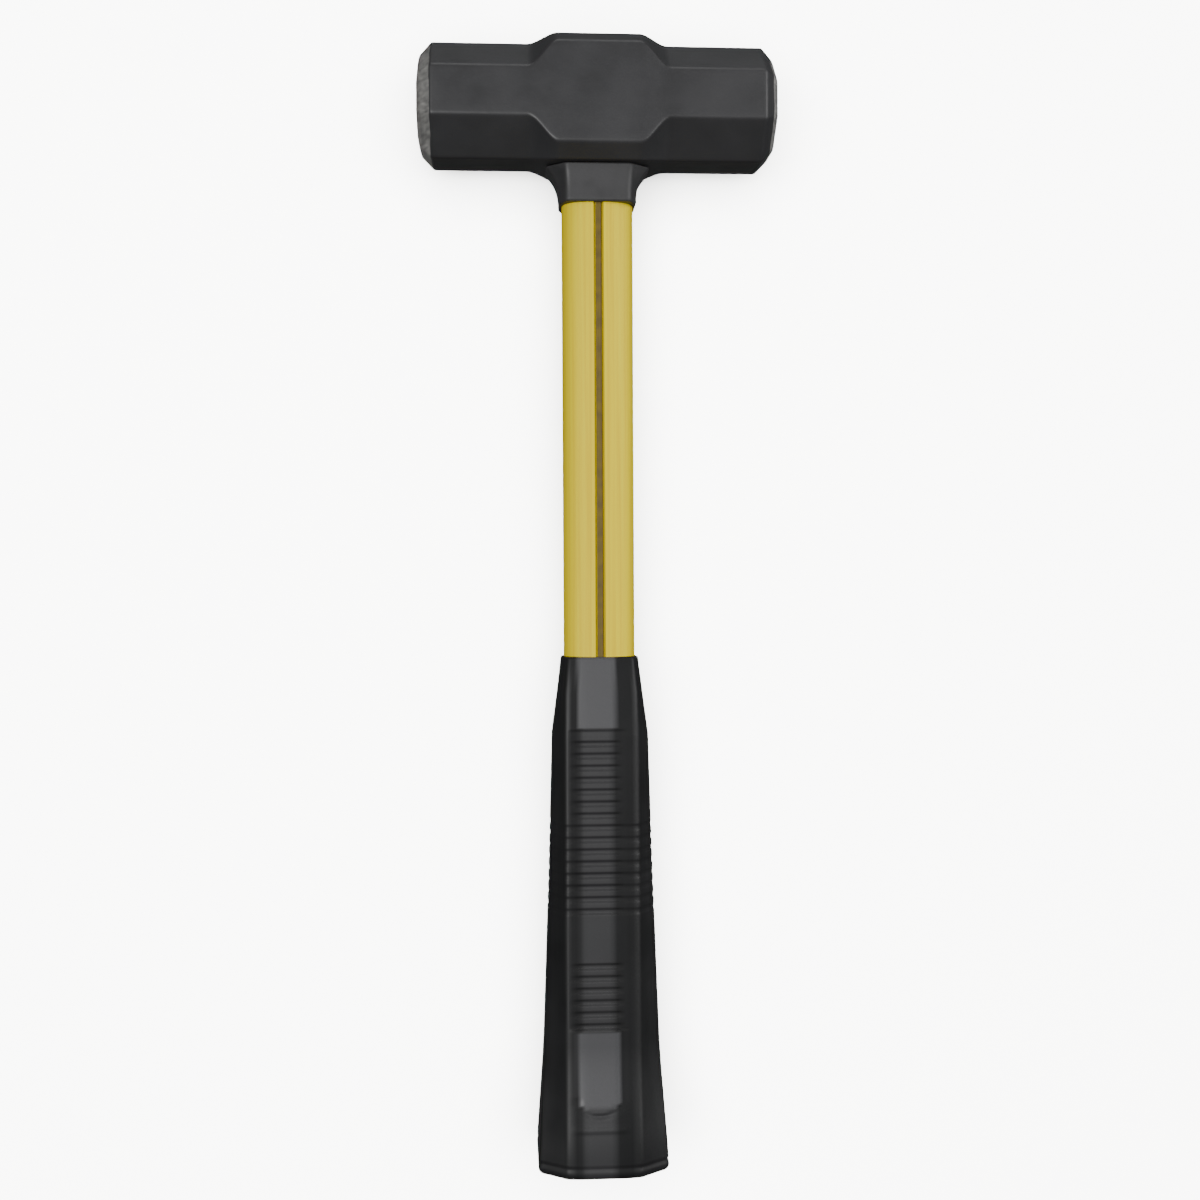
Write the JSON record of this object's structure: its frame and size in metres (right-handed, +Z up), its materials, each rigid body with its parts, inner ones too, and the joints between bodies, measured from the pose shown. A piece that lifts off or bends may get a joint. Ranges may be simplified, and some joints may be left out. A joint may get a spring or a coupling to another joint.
{
  "type": "double-faced sledge hammer",
  "caption": "Short-handled sledge hammer with an octagonal double-faced head, yellow glass-fibre handle, collar and ribbed rubber grip, for breaking tyre beads.",
  "frame": {"origin": "on the surface the hammer lies on, under the middle of its bounding box", "axes": "+Y up the handle from the butt of the grip to the head, +X along the striking axis, +Z up through the cheeks of the head"},
  "size_m": [0.129, 0.406, 0.0418],
  "materials": {
    "black_forging": "satin black enamel on a forging, with bare ground bevels and striking faces",
    "bond_resin": "cured dark grey epoxy",
    "glass_fibre": "straw-coloured glass fibre in resin, cut end",
    "yellow_resin": "glossy yellow resin over glass fibre, faint lengthwise strands",
    "dark_line": "dark resin line in the groove",
    "collar_plastic": "black moulded plastic, fine grain",
    "grip_rubber": "black moulded rubber, satin"
  },
  "bodies": {
    "root": {"hammer_head": "black_forging", "eye_epoxy": "bond_resin", "handle_core": "glass_fibre", "handle_jacket": "yellow_resin", "groove_line_front": "dark_line", "groove_line_back": "dark_line", "overstrike_collar": "collar_plastic", "grip_sleeve": "grip_rubber", "grip_cement": "bond_resin"}
  },
  "joints": []
}
